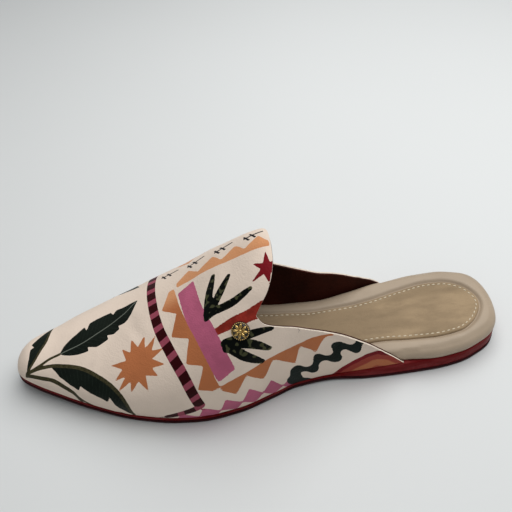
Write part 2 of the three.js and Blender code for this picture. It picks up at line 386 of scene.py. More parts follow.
def slab(outline, profile, along=240, over=24, crown=None):
    """A closed slab of the sole: profile(angle) gives rows of inset and height, foot first.

    crown(points, height) may reshape the edges and the top between them.
    """
    angle = np.linspace(0, np.pi, along + 1)
    rows = [tuple(np.broadcast_to(part, angle.shape) for part in row) for row in profile(angle)]
    across = np.linspace(1, -1, over + 1)[1:-1]
    up = [(1, *row) for row in rows]
    top = [(way, *rows[-1]) for way in across]
    down = [(-1, *row) for row in reversed(rows)]
    under = [(-way, *rows[0]) for way in across]
    columns = up + top + down + under + up[:1]
    places = np.empty((along + 1, len(columns), 3))
    for j, (way, inset, height) in enumerate(columns):
        outer, inner = (outline.edge(angle, side, inset) for side in (1, -1))
        places[:, j, :2] = (outer * (1 + way) + inner * (1 - way)) / 2
        places[:, j, 2] = height
    if crown:
        seen = len(up) + len(top) + len(down)
        part = places[:, :seen].reshape(-1, 3)
        part[:, 2] = crown(part[:, :2], part[:, 2])
        places[:, :seen] = part.reshape(along + 1, seen, 3)
    made = grid(len(columns) - 1, along)
    x, y = shares(made.verts)
    column = np.rint(x * (len(columns) - 1)).astype(int)
    settle(made.verts, places[np.rint(y * along).astype(int), column])
    weld(made)
    return made


def smooth_step(value, low, high):
    """0 up to low, 1 from high on, and a soft rise between them."""
    t = np.clip((value - low) / (high - low), 0, 1)
    return t * t * (3 - 2 * t)


def segment_distance(points, start, end):
    """Distance of each point to a straight stretch."""
    start, run = np.array(start, float), np.subtract(end, start).astype(float)
    share = np.clip((points - start) @ run / (run @ run), 0, 1)
    return np.linalg.norm(points - start - share[:, None] * run, axis=1)


def trough(distance, width):
    """1 in the middle of a soft groove, about a third at its width and soon 0 past it."""
    return np.exp(-((distance / width) ** 2))


# ---------------------------------------------------------------- the sole

def outsole_mesh():
    thick = sizes().outsole

    def profile(angle):
        low = sole["under"](angle)
        return [(1.2, low), (0.45, low + 0.1), (0.08, low + 0.5), (0.0, low + 1.0),
                (0.0, low + thick - 0.5), (0.12, low + thick - 0.12), (0.45, low + thick)]

    return slab(SOLE_EDGE, profile)


def midsole_mesh():
    thick = sizes().outsole

    def profile(angle):
        low, top = sole["under"](angle), midsole_top(angle)
        return [(0.9, low + thick - 0.05), (0.5, low + thick + 0.15), (0.4, low + thick + 0.5),
                (0.35, (low + thick + top) / 2), (0.4, top - 0.5), (0.6, top - 0.12),
                (1.0, top + 0.03)]

    return slab(SOLE_EDGE, profile)


BARE_INSET = 0.35  # the footbed's edge at the heel, in from the sole's
BARE_HEEL = (40, 62)  # stations over which it moves in to the lining
BELLY_BEGINS = (62, 90)  # stations over which it follows the upper's belly out again
LINING_BITE = 0.2  # how far it reaches into the lining
RIM_FADES = (70, 120)  # stations over which the rim's crown gets lower
BED_ROLL = 4.0  # the rounded edge outside the crown


def bed_inset(angle):
    """Inset of the footbed: full width at the bare heel, against the lining in front of it."""
    station, low = SOLE_EDGE.station(angle), midsole_top(angle)
    share = np.clip((sole["bed"](angle) - 1 - low) / last["rise"](angle), 0, 1)
    stand_out = last["belly"](angle) * (1 - (1 - share) ** 2)
    lining = UPPER_INSET + sizes().wall - LINING_BITE - stand_out * smooth_step(station, *BELLY_BEGINS)
    return BARE_INSET + (lining - BARE_INSET) * smooth_step(station, *BARE_HEEL)


def bed_height(points, height):
    """Height of the footbed's top: a crowned rim, then a groove pressed round the sock pad."""
    inside = PAD_EDGE.distance(points)
    edge = SOLE_EDGE.distance(points)
    bare = 1 - smooth_step(points[:, 0], *RIM_FADES)
    rim = np.clip(edge / 6, 0, 1) * np.clip(-inside / 3, 0, 1)
    crowned = height + sizes().rim * smooth_step(rim, 0, 1) * (0.35 + 0.65 * bare)
    groove = sizes().groove * trough(inside + 0.3, 1.0) * smooth_step(edge, 3, 6)
    return crowned - groove - cup_depth(points, inside)


def footbed_mesh():
    def profile(angle):
        low, top, inset = midsole_top(angle), sole["bed"](angle), bed_inset(angle)
        deep = top - low
        rows = [(inset + 1.2, low + 0.02), (inset + 0.45, low + 0.12 * deep)]
        radius = 0.62 * deep
        for turn in np.radians(np.linspace(-35, 90, 11)):
            rise = top - radius + radius * np.sin(turn)
            rows.append((inset + radius * (1 - np.cos(turn)) * np.where(turn < 0, 0.55, 1.15), rise))
        return rows

    def crown(points, height):
        return np.where(SOLE_EDGE.distance(points) > BED_ROLL, bed_height(points, height), height)

    return slab(SOLE_EDGE, profile, along=330, over=96, crown=crown)


# ---------------------------------------------------------------- the upper

def skin(angle, girth):
    """Outer skin of the upper, from the outer foot (0) over the ridge (0.5) to the inner (1)."""
    side = np.where(girth <= 0.5, 1, -1)
    share = np.where(girth <= 0.5, 2 * girth, 2 * (1 - girth))
    foot = SOLE_EDGE.edge(angle, side, np.full(np.shape(angle), UPPER_INSET))
    other = SOLE_EDGE.edge(angle, -side, np.full(np.shape(angle), UPPER_INSET))
    low, rise, belly = midsole_top(angle), last["rise"](angle), last["belly"](angle)
    ridge_y = last["side"](angle)
    ridge_z = np.maximum(last["ridge"](angle) * VAMP_HEIGHT, low + rise)
    station = foot[..., 0] + (other[..., 0] - foot[..., 0]) / 2 * share
    t = 1 - share / BELLY_AT
    turn = np.clip((share - BELLY_AT) / (1 - BELLY_AT), 0, 1) * np.pi / 2
    power = 2 / last["full"](angle)
    belly_y = foot[..., 1] + side * belly
    under = share < BELLY_AT
    y = np.where(
        under, foot[..., 1] + side * belly * (1 - t * t),
        ridge_y + (belly_y - ridge_y) * np.maximum(np.cos(turn), 0) ** power,
    )
    z = np.where(
        under, low + rise * (1 - t),
        low + rise + (ridge_z - low - rise) * np.sin(turn) ** power,
    )
    tuck = TUCK * np.clip(1 - (z - low) / TUCK_HEIGHT, 0, 1) ** 2
    return np.stack([station, y - side * tuck, z], -1)


def skin_normal(angle, girth):
    """Which way the skin faces; straight ahead at the very tip of the toe."""
    small = 0.004
    along = skin(np.minimum(angle + small, np.pi), girth) - skin(angle - small, girth)
    across = skin(angle, np.minimum(girth + small, 1)) - skin(angle, np.maximum(girth - small, 0))
    normal = np.cross(across, along)
    size = np.linalg.norm(normal, axis=-1, keepdims=True)
    tip = angle > np.pi - 2e-3
    normal = np.where(size > 1e-9, normal / np.maximum(size, 1e-9), (1.0, 0, 0))
    return np.where(tip[..., None], (1.0, 0, 0), normal)


class PrintPlane:
    """The upper laid flat: how far down from the ridge each point of the skin lies."""

    def __init__(self, stations=260, lines=201):
        self.angles = np.linspace(SOLE_EDGE.angle(50), np.pi, stations)
        self.girths = np.linspace(0, 1, lines)
        turn, girth = np.meshgrid(self.angles, self.girths, indexing="ij")
        spots = skin(turn, girth)
        steps = np.linalg.norm(np.diff(spots, axis=1), axis=2)
        walked = np.concatenate([np.zeros((stations, 1)), np.cumsum(steps, axis=1)], axis=1)
        self.down = walked[:, lines // 2][:, None] - walked

    def at(self, angle, girth):
        """Millimetres down from the ridge, positive on the outer side."""
        i = (angle - self.angles[0]) / (self.angles[1] - self.angles[0])
        j = girth * (len(self.girths) - 1)
        i = np.clip(i, 0, len(self.angles) - 1.001)
        j = np.clip(j, 0, len(self.girths) - 1.001)
        a, b = i.astype(int), j.astype(int)
        p, q = i - a, j - b
        low = self.down[a, b] * (1 - q) + self.down[a, b + 1] * q
        high = self.down[a + 1, b] * (1 - q) + self.down[a + 1, b + 1] * q
        return low * (1 - p) + high * p

    def above_foot(self, angle, girth):
        """Millimetres up along the skin from the nearer foot of the upper."""
        outer = self.at(angle, 0 * girth) - self.at(angle, girth)
        inner = self.at(angle, girth) - self.at(angle, 0 * girth + 1)
        return np.where(girth <= 0.5, outer, inner)


PRINT_PLANE = PrintPlane()
GIRTH_LINES = 226
LENGTH_LINES = 196
GIRTH_SAMPLES = 2401
GIRTH_STATION = 150  # the section that spaces the grid's lines round the girth
COLLAR_WEIGHT = 0.4  # what a step of the collar counts for beside a step of that section
TOE_CLOSING = 1.4  # above 1, the grid's rows come closer together at the toe
NOTCH = 0.3  # the collar's notch, as a share of the girth
COLLAR_SPAN = (52.0, 137.0)  # the whole collar lies between these stations
HALVINGS = 24  # steps of the search in that span
TOE_CALM = (1, 14)  # distances from the tip over which creases begin
RIM_CUTS = 3  # rows of corners across the cut edge
LINING_SHARE = 0.4  # how deep in the cut edge its lining layer starts


def collar_station(girth, side):
    """Where the collar cuts a line of the girth, smooth along the skin below its notch."""
    name = "out" if side > 0 else "inn"
    rows = COLLAR["girth"] <= NOTCH
    own, stations = COLLAR["girth"][rows], COLLAR[name][rows]
    line = own if side > 0 else 1 - own
    heights = PRINT_PLANE.above_foot(SOLE_EDGE.angle(stations), line)
    cut = curve(heights, stations)
    share = girth if side > 0 else 1 - girth
    low, high = (np.full(girth.shape, end) for end in COLLAR_SPAN)
    for _ in range(HALVINGS):
        middle = (low + high) / 2
        past = middle > cut(PRINT_PLANE.above_foot(SOLE_EDGE.angle(middle), girth))
        low, high = np.where(past, low, middle), np.where(past, middle, high)
    return np.where(share < NOTCH, (low + high) / 2, collar[name](share))


def collar_cut(girth):
    """Where the collar cuts a line of the girth, on whichever side the line is."""
    return np.where(girth <= 0.5, collar_station(girth, 1), collar_station(girth, -1))


def upper_lines(x, y):
    """Angle and girth of the upper's grid: closer where the collar runs level, and at the toe."""
    girths = np.linspace(0, 1, GIRTH_SAMPLES)
    section = skin(np.full(GIRTH_SAMPLES, float(SOLE_EDGE.angle(GIRTH_STATION))), girths)
    cut_steps = np.abs(np.diff(collar_cut(girths)))
    steps = np.linalg.norm(np.diff(section, axis=0), axis=1) + COLLAR_WEIGHT * cut_steps
    walked = np.concatenate([[0], np.cumsum(steps)])
    ridge = walked[GIRTH_SAMPLES // 2]
    halves = np.where(walked < ridge, walked / ridge, 1 + (walked - ridge) / (walked[-1] - ridge))
    girth = np.interp(x, halves / 2, girths)
    station = LENGTH - (LENGTH - collar_cut(girth)) * (1 - y) ** TOE_CLOSING
    return SOLE_EDGE.angle(station), girth


def upper_mesh():
    """The hollow upper: printed skin, lining behind it, and a cut edge in two layers."""
    made = grid(GIRTH_LINES, LENGTH_LINES)
    angle, girth = upper_lines(*shares(made.verts))
    normal = skin_normal(angle, girth)
    outside = skin(angle, girth)
    plane = np.stack([outside[:, 0], PRINT_PLANE.at(angle, girth)], -1)
    calm = smooth_step(LENGTH - outside[:, 0], *TOE_CALM)
    outside = outside + normal * (crease_height(plane) * calm)[:, None]
    lining = outside - normal * sizes().wall
    lining[:, 2] = np.maximum(lining[:, 2], midsole_top(angle))
    lining[:, 0] = np.minimum(lining[:, 0], LENGTH - UPPER_INSET - sizes().wall)
    add_lining(made, outside, lining)
    for name, field in print_fields(plane).items():
        layer = made.verts.layers.float.new(name)
        for vert, value in zip(made.verts[:len(outside)], field):
            vert[layer] = value
    depth = made.verts.layers.float.new("rim_depth")
    for vert in made.verts[len(outside):]:
        vert[depth] = 1
    close_rim(made, depth)
    return made


def add_lining(made, outside, lining):
    """Puts the skin in its place and a copy of it, turned round, behind it."""
    copy = bmesh.ops.duplicate(made, geom=made.verts[:] + made.edges[:] + made.faces[:])
    back = [item for item in copy["geom"] if isinstance(item, bmesh.types.BMVert)]
    back_faces = [item for item in copy["geom"] if isinstance(item, bmesh.types.BMFace)]
    made.verts.ensure_lookup_table()
    settle(made.verts[:len(outside)], outside)
    settle(back, lining)
    bmesh.ops.reverse_faces(made, faces=back_faces)
    for face in back_faces:
        face.material_index = 1


def close_rim(made, depth):
    """Joins the skin to its lining by a cut edge in two layers; depth is 1 on the lining."""
    edges = [edge for edge in made.edges if edge.is_boundary]
    for edge in edges:
        edge.smooth = False
    bridge = bmesh.ops.bridge_loops(made, edges=edges)
    for face in bridge["faces"]:
        face.material_index = 2
    bmesh.ops.subdivide_edges(made, edges=bridge["edges"], cuts=RIM_CUTS)
    for face in (face for face in made.faces if face.material_index == 2):
        if sum(vert[depth] for vert in face.verts) > LINING_SHARE * len(face.verts):
            face.material_index = 1
    bmesh.ops.remove_doubles(made, verts=made.verts, dist=CORNER_GAP * MM)


# Soft troughs left by lasting and handling: from and to on the print plane, width, depth
CREASES = table("at down to_at to_down width depth", [
    (205, -8, 196, 14, 2.6, 0.16),
    (200, 8, 188, 24, 2.2, 0.12),
    (236, 34, 224, 22, 2, 0.12),
    (214, 62, 206, 48, 2.2, 0.16),
    (246, 22, 238, 14, 1.8, 0.1),
    (140, 40, 152, 52, 3, 0.18),
    (138, 30, 150, 18, 3.4, 0.15),
    (168, 84, 160, 66, 3, 0.14),
    (205, -50, 196, -34, 2.4, 0.14),
    (140, -40, 154, -54, 3, 0.18),
])
UNEVENNESS = 0.1


def crease_height(plane):
    """Height of the skin's soft troughs and of its slow unevenness."""
    height = np.zeros(len(plane))
    for at, down, to_at, to_down, width, depth in zip(*CREASES.values()):
        gap = segment_distance(plane, (at, down), (to_at, to_down))
        height -= depth * trough(gap, width)
        height += 0.45 * depth * trough(gap - 1.9 * width, width)
    slow = np.sin(plane[:, 0] / 9.5 + 1.3) * np.sin(plane[:, 1] / 12 + 0.4)
    return height + UNEVENNESS * slow


# ---------------------------------------------------------------- the print

PRINT_FOLD = -18.0  # the print mirrors about this line, just inside the ridge

BIG_LEAF = [(240.5, 9), (229.5, 7), (218.5, 2.5), (207.5, -3), (197, -11)]
BIG_LEAF_WIDTHS = table("at out inn", [
    (0, 0, 0), (0.06, 3.6, 2.4), (0.2, 7.6, 5.6), (0.45, 10, 8), (0.7, 7.8, 6.4),
    (0.88, 3.6, 3.2), (1, 0, 0),
])
BIG_LEAF_NOTCHES = {"out": (0.36, 0.7), "inn": (0.3, 0.52, 0.66)}
DROOPING_RIB = [(259.5, 13.6), (252.5, 13.4), (245.5, 14), (238, 16.5), (229, 20.6),
                (219.5, 27.8), (211.5, 36), (206.5, 45), (204, 59.5)]
DROOPING_EDGE = [(208.6, 52.3), (212, 46.3), (214.4, 39.6), (215.6, 43), (218.2, 40.3),
                 (224.5, 35), (229.4, 29.7), (230.4, 32), (234, 28.3), (240.4, 21.4)]
SMALL_LEAF = [(259.5, 13.6), (257.8, 6.8), (257.2, 1), (255.4, 0), (257, -2), (252.5, -8),
              (247.7, -14.8), (248.8, -3), (251.5, 3), (255, 9)]
STEMS = {
    "leaf_stalk": ([(259.6, 14), (251.5, 12), (245, 9.6), (240.5, 9)], 0.75),
    "small_rib": ([(259.5, 13.6), (255, 9), (251.5, 3), (248.8, -3), (247.7, -14.8)], 0.65),
    "drooping_rib": (DROOPING_RIB, 0.95),
    "low_stem": ([(259.8, 14.6), (252, 18.3), (245, 21.6), (239, 26.8), (234, 32.5),
                  (230.8, 39), (226, 47.5)], 1.0),
    "low_shoot": ([(236, 29.6), (232.4, 36), (231.4, 42)], 0.9),
}
VEIN_PITCH = 2.6
STARBURST = {"at": 197.2, "down": 29, "rays": 12, "inner": 8.2, "outer": 15, "turn": -1.36}
SMALL_STAR = {"at": 128.4, "down": 14.8, "rays": 6, "inner": 3.1, "outer": 9, "turn": -1.62}
RIBBON = [(189.6, -32), (189.4, -14), (187.9, 1), (185.2, 14.5), (180.2, 29), (173.8, 46), (168.4, 67)]
RIBBON_END = [(168.4, 67), (172, 67.8), (177, 68), (186, 68)]
RIBBON_WIDTH = 5.0
CHECK = 4.7
# Rows of pennants: the line, how many, the strip that joins them, how tall at its start and
# end, where each one peaks
PENNANTS = [
    ([(125.5, 2.8), (137.6, 1.2), (149.4, -1.4), (161.3, -4.2), (174.8, -5.4)], 4, 2.9, 8.4, 8.4, 0.46),
    ([(176, -6), (172.2, 11.8), (166.6, 28.7), (161.8, 42.4), (157.5, 60.5)], 4, 2.6, 9.2, 9.2, 0.55),
    ([(157.5, 60.5), (149, 61), (140, 61.8), (131.2, 62), (118.1, 59.8), (108, 57.4), (97, 57.5)],
     4.45, 1.9, 12, 16, 0.62),
]
BAND = [(169.4, -1.8), (166, 16.6), (162, 28.4), (157.8, 41), (153.2, 56.4)]
BAND_WIDTH = 9.2
PLANTS = {
    "upper": [((159.4, 23.5), (158, 15.2), (154.4, 2.8)), ((157.2, 22), (152.2, 15.3), (146.8, 8.4)),
              ((155.6, 22.8), (147.6, 23.2), (137.4, 21.4))],
    "lower": [((152.6, 39.6), (143.5, 41.3), (129.4, 44.4)), ((151.6, 41.1), (141.4, 46), (131.2, 55.6)),
              ((151.1, 42.3), (144.6, 50.2), (135.2, 61.6))],
}
PALMS = [(157.8, 21.4), (150.4, 41.8)]
PALM_RADIUS = 3.4
STRIPE = [(157.5, 31), (156, 34.4), (147.7, 35.2), (137.1, 36.4), (129, 37.4), (129, 28.4),
          (140.1, 30.2), (147.5, 29.8)]
DIAMONDS = [(182, 77), (168, 79.5), (157, 82), (147, 84.4), (137.5, 88), (129, 91.5), (117, 97)]
DIAMOND_PITCH = 11.8
DIAMOND_HALF = 9.6
DIAMOND_LEAN = 0.5
SCALLOPS = [(113, 97.5), (117.5, 94), (119, 88.5), (116, 84), (110, 81), (103.5, 78.2), (97.5, 74.6),
            (91, 70), (83.4, 67)]
SCALLOP_PITCH = 12.8
SCALLOP_RISE = 3.6
SCALLOP_HALF = 4.3
SCALLOPS_BEGIN = (12, 18)  # how far along the border its swing grows
SCALLOP_START = 14
FAN = [(101, 97), (94, 89), (87, 82.4), (81, 78), (75, 75), (66, 78), (56, 84), (52, 100), (100, 106)]
TICK = [(116.6, 48.8), (116, 51.4)]
TICK_HALF = 0.6
COMBS = 4
COMB_START = (132.2, -8.8)
COMB_STEP = (15.4, -4.2)
COMB_HALF = 5  # half a comb's length
COMB_TOOTH = 3.2


def smooth_path(points, steps=10):
    """A finer path that bends smoothly through a few points."""
    points = np.array(points, float)
    walked = np.concatenate([[0], np.cumsum(np.linalg.norm(np.diff(points, axis=0), axis=1))])
    fine = np.linspace(0, walked[-1], steps * (len(points) - 1) + 1)
    return np.stack([curve(walked, points[:, i])(fine) for i in (0, 1)], -1)


def path_frame(points, path):
    """Signed distance of each point across a path (positive on its left) and way along it."""
    near = np.full(len(points), np.inf)
    across, along = np.zeros(len(points)), np.zeros(len(points))
    walked = 0.0
    for a, b in zip(path[:-1], path[1:]):
        run = b - a
        size = np.linalg.norm(run)
        offset = points - a
        share = np.clip(offset @ run / (size * size), 0, 1)
        gap = np.linalg.norm(offset - share[:, None] * run, axis=1)
        closer = gap < near
        left = run[0] * offset[:, 1] - run[1] * offset[:, 0] > 0
        near = np.where(closer, gap, near)
        across = np.where(closer, np.where(left, gap, -gap), across)
        along = np.where(closer, walked + share * size, along)
        walked += size
    return across, along


def stroke(points, path, half_width):
    """A painted stroke with round ends."""
    return np.abs(path_frame(points, np.array(path, float))[0]) - half_width


def shape_of(points, corners):
    """A painted patch with a straight edge from corner to corner."""
    return signed_distance(points, np.array(corners, float))


def star(points, at, down, rays, inner, outer, turn):
    """A star with straight pointed rays that lean and reach unevenly."""
    count = np.arange(2 * rays)
    turns = turn + count * np.pi / rays + 0.09 * np.sin(2.3 * count) * (count % 2 == 0)
    reach = np.where(count % 2, inner, outer) * (1 + 0.07 * np.sin(1.7 * count + 0.4))
    return shape_of(points, np.stack([at + reach * np.cos(turns), down + reach * np.sin(turns)], -1))


def leaf_corners():
    """The big leaf's torn outline, from its rib and its half widths."""
    rib = smooth_path(BIG_LEAF, 30)
    share = np.linspace(0, 1, len(rib))
    run = np.gradient(rib, axis=0)
    left = np.stack([-run[:, 1], run[:, 0]], -1) / np.linalg.norm(run, axis=1)[:, None]
    sides = []
    for name, way in (("out", 1), ("inn", -1)):
        width = curve(BIG_LEAF_WIDTHS["at"], BIG_LEAF_WIDTHS[name])(share)
        for notch in BIG_LEAF_NOTCHES[name]:
            torn = (share >= notch) & (share < notch + 0.07)
            width = width * np.where(torn, 0.64 + 5 * (share - notch), 1)
        sides.append(rib + way * width[:, None] * left)
    return np.concatenate([sides[0], sides[1][::-1]])


def finger(points, path):
    """A plant's finger: thick along its lower part, narrow and round at its tip."""
    across, along = path_frame(points, smooth_path(path, 6))
    share = along / along.max()
    return np.abs(across) - (1.8 + 0.4 * np.sin(2.8 * share) - 0.8 * share ** 3)


def pennants(points, line, teeth, joined, first, last, peak):
    """A row of pennants on the right of a line."""
    across, along = path_frame(points, smooth_path(line, 6))
    length = along.max()
    place = np.mod(along * teeth / length, 1)
    climb = np.where(place < peak, place / peak, (1 - place) / (1 - peak))
    climb = climb * (along * teeth / length < math.floor(teeth + 0.01))
    height = joined + climb * (first - joined + (last - first) * along / length)
    body = (-across - height) / math.hypot(1, 2 * height.max() * teeth / length)
    past = (along <= 0) | (along >= length)
    return np.where(past, 2.0, np.maximum(body, across))


def leaf_fields(spots):
    """The three leaves, and how far each point is across and along the rib of its leaf."""
    drooping = shape_of(spots, DROOPING_RIB[2:] + DROOPING_EDGE)
    big, small = shape_of(spots, leaf_corners()), shape_of(spots, SMALL_LEAF)
    ribs = [path_frame(spots, smooth_path(path)) for path in (BIG_LEAF, DROOPING_RIB)]
    across, along = (np.where(big < drooping, *pair) for pair in zip(*ribs))
    leaf = np.minimum(np.minimum(big, small), drooping)
    return {"leaf": leaf, "rib_across": across, "rib_along": along}


def brushed_band(spots):
    """A wide brush mark, cut off square at both ends."""
    across = np.abs(path_frame(spots, smooth_path(BAND))[0]) - BAND_WIDTH / 2
    start, end = np.array(BAND[0]), np.array(BAND[-1])
    way = (end - start) / np.linalg.norm(end - start)
    past = np.maximum((start - spots) @ way, (spots - end) @ way)
    return np.maximum(across, past * 0.4)


def diamond_row(spots):
    """Leaning diamonds, point to point along a path."""
    across, along = path_frame(spots, smooth_path(DIAMONDS))
    beat = np.abs(2 * np.mod((along + DIAMOND_LEAN * across) / DIAMOND_PITCH, 1) - 1)
    return 0.75 * (np.abs(across) - DIAMOND_HALF * (1 - beat) - 0.3)


def scallop_border(spots):
    """A broad line that starts straight and then swings from side to side."""
    across, along = path_frame(spots, smooth_path(SCALLOPS))
    swing = np.sin(2 * np.pi * (along - SCALLOP_START) / SCALLOP_PITCH)
    begun = smooth_step(along, *SCALLOPS_BEGIN)
    wave = SCALLOP_RISE * begun * np.sign(swing) * np.abs(swing) ** 0.6
    return 0.7 * (np.abs(across - wave) - SCALLOP_HALF)


def plant_field(spots):
    """Two plants of three fingers, each on a round palm."""
    fingers = [finger(spots, path) for paths in PLANTS.values() for path in paths]
    palms = [np.linalg.norm(spots - palm, axis=1) - PALM_RADIUS for palm in PALMS]
    return np.minimum.reduce(fingers + palms)


def print_fields(plane):
    """Signed distances to every painted motif in mm, negative inside, and guiding lines."""
    down = np.where(plane[:, 1] > PRINT_FOLD, plane[:, 1], 2 * PRINT_FOLD - plane[:, 1])
    spots = np.stack([plane[:, 0], down], -1)
    stems = [stroke(spots, smooth_path(path), width) for path, width in STEMS.values()]
    ribbon = path_frame(spots, np.concatenate([smooth_path(RIBBON), RIBBON_END[1:]]))
    return {
        "print_at": plane[:, 0], "print_down": plane[:, 1],
        **leaf_fields(spots),
        "stem": np.minimum.reduce(stems),
        "starburst": star(spots, **STARBURST),
        "bunting": np.minimum.reduce([pennants(spots, *row) for row in PENNANTS]),
        "ribbon_across": ribbon[0], "ribbon_along": ribbon[1],
        "band": brushed_band(spots),
        "diamond": diamond_row(spots),
        "plant": plant_field(spots),
        "stripe": shape_of(spots, STRIPE),
        "small_star": star(spots, **SMALL_STAR),
        "scallop": scallop_border(spots),
        "fan": shape_of(spots, FAN),
        "tick": stroke(spots, TICK, TICK_HALF),
    }


# ---------------------------------------------------------------- sock, stitches and stud

CUP_DEPTH = 0.8
CUP_ENDS = (60, 100)  # stations over which the heel's hollow runs out
SOCK_SUNK = 0.3  # how far the pad's top is pressed below its thickness
SOCK_ROUND = 1.1  # width of the pad's rounded edge
SEAM_DEPTH = 0.32
SEAM_WIDTH = 0.7
STITCH_INSET = 1.75
STITCH_LAST = 132  # station where the seam runs out of sight
STITCH_SLANT = 0.09
STITCH_PROUD = 0.1
STUD_AT = {"station": 144, "girth": 0.292}


def bed_at(points):
    """Height of the footbed's flat top at each point."""
    return sole["bed"](SOLE_EDGE.angle(points[:, 0]))


def cup_depth(points, inside):
    """The heel's soft hollow under the sock pad."""
    return CUP_DEPTH * smooth_step(inside, 0, 9) * (1 - smooth_step(points[:, 0], *CUP_ENDS))


def sock_height(points):
    """Top of the suede pad: rounded at its cut edge, pulled down along the seam."""
    inside = PAD_EDGE.distance(points)
    rounded = sizes().sock * (1 - np.clip(1 - inside / SOCK_ROUND, 0, 1) ** 2)
    seam = SEAM_DEPTH * trough(inside - STITCH_INSET, SEAM_WIDTH)
    return bed_at(points) - cup_depth(points, inside) + rounded - seam - SOCK_SUNK


def sock_mesh():
    def profile(angle):
        ring = PAD_EDGE.edge(angle, 1)
        bed = sole["bed"](SOLE_EDGE.angle(ring[:, 0]))
        return [(0.3, bed - 1.6), (0.05, bed - 1.2), (0.0, bed - 0.5), (0.12, bed - 0.2),
                (0.4, bed), (0.9, bed), (1.4, bed), (1.9, bed), (2.5, bed)]

    def crown(points, height):
        top = height >= bed_at(points) - 0.45
        return np.where(top, sock_height(points), height)

    return slab(PAD_EDGE, profile, along=300, over=56, crown=crown)


def stitches_mesh():
    """Slanted cream stitches, half sunk in the suede, as one joined mesh."""
    angle = np.linspace(PAD_EDGE.angle(STITCH_LAST), 0, 900)
    outer, inner = (PAD_EDGE.edge(angle, side, STITCH_INSET) for side in (1, -1))
    path = np.concatenate([outer, inner[::-1][1:]])
    walked = np.concatenate([[0], np.cumsum(np.linalg.norm(np.diff(path, axis=0), axis=1))])
    count = int(walked[-1] / sizes().stitch)
    middles = (np.arange(count) + 0.5) * walked[-1] / count
    spots = np.stack([np.interp(middles, walked, path[:, i]) for i in (0, 1)], -1)
    ahead = np.stack([np.interp(middles + 0.5, walked, path[:, i]) for i in (0, 1)], -1)
    heights = sock_height(spots)
    made = bmesh.new()
    long, thick, high = 0.34 * sizes().stitch, 0.36, 0.3
    for spot, next_spot, height in zip(spots, ahead, heights):
        turn = math.atan2(*(next_spot - spot)[::-1]) + STITCH_SLANT
        place = Vector((*spot, height + STITCH_PROUD)) + SHIFT
        size = Matrix.Diagonal((long, thick, high, 1))
        matrix = Matrix.Translation(place * MM) @ Matrix.Rotation(turn, 4, "Z") @ size
        bmesh.ops.create_icosphere(made, subdivisions=2, radius=MM, matrix=matrix)
    return made


def stud_mesh():
    """A domed gilt button with eight petals, a bead in the middle and a beaded rim."""
    radius = sizes().stud
    made = bmesh.new()
    bmesh.ops.create_cone(
        made, cap_ends=True, segments=64, radius1=radius, radius2=radius * 0.93, depth=0.7,
        matrix=Matrix.Translation((0, 0, 0.35)),
    )
    # The base disc takes the near-black material: painted shade in the hollows behind the petals
    for face in made.faces:
        face.material_index = 1
    petals, beads = 8, 28
    for i in range(petals):
        turn = Matrix.Rotation(2 * math.pi * i / petals, 4, "Z")
        size = Matrix.Diagonal((0.31 * radius, 0.155 * radius, 0.62, 1))
        matrix = turn @ Matrix.Translation((0.5 * radius, 0, 0.75)) @ size
        bmesh.ops.create_uvsphere(made, u_segments=16, v_segments=10, radius=1, matrix=matrix)
    for i in range(beads):
        turn = Matrix.Rotation(2 * math.pi * (i + 0.5) / beads, 4, "Z")
        matrix = turn @ Matrix.Translation((0.89 * radius, 0, 0.68)) @ Matrix.Scale(0.34, 4)
        bmesh.ops.create_icosphere(made, subdivisions=2, radius=1, matrix=matrix)
    bmesh.ops.create_uvsphere(
        made, u_segments=20, v_segments=12, radius=1,
        matrix=Matrix.Translation((0, 0, 0.8)) @ Matrix.Diagonal((1.05, 1.05, 0.85, 1)),
    )
    angle = np.array([float(SOLE_EDGE.angle(STUD_AT["station"]))])
    girth = np.array([STUD_AT["girth"]])
    seat, out = Vector(skin(angle, girth)[0]), Vector(skin_normal(angle, girth)[0])
    place = Matrix.Translation((seat + out * 0.05 + SHIFT) * MM) @ Matrix.Scale(MM, 4)
    turn = out.to_track_quat("Z", "Y").to_matrix().to_4x4()
    bmesh.ops.transform(made, matrix=place @ turn, verts=made.verts)
    return made


# ---------------------------------------------------------------- materials

# Tints that no setting changes
WORN_GROUND = (0.62, 0.52, 0.42)
# Painted highlight: lighter orange laid over the bunting near the ridge, where the light falls brightest
RIDGE_HIGHLIGHT_ORANGE = (0.68, 0.32, 0.15)
LEAF_VEIN = (0.03, 0.042, 0.032)
LEAF_RIB = (0.2, 0.22, 0.18)
PLANT_FLECK = (0.075, 0.078, 0.036)
STRIPE_RED = (0.2, 0.02, 0.013)
FAN_RED = (0.3, 0.05, 0.034)
FAN_ORANGE = (0.44, 0.15, 0.066)
SCALLOP_INK = (0.004, 0.011, 0.008)
COMB_INK = (0.01, 0.008, 0.01)
# Near-black painted shade for the hollows behind the stud's petals
RECESS_SHADE = (0.022, 0.017, 0.012)
PAPER = ((0.72, 0.735, 0.73), (0.69, 0.705, 0.70))


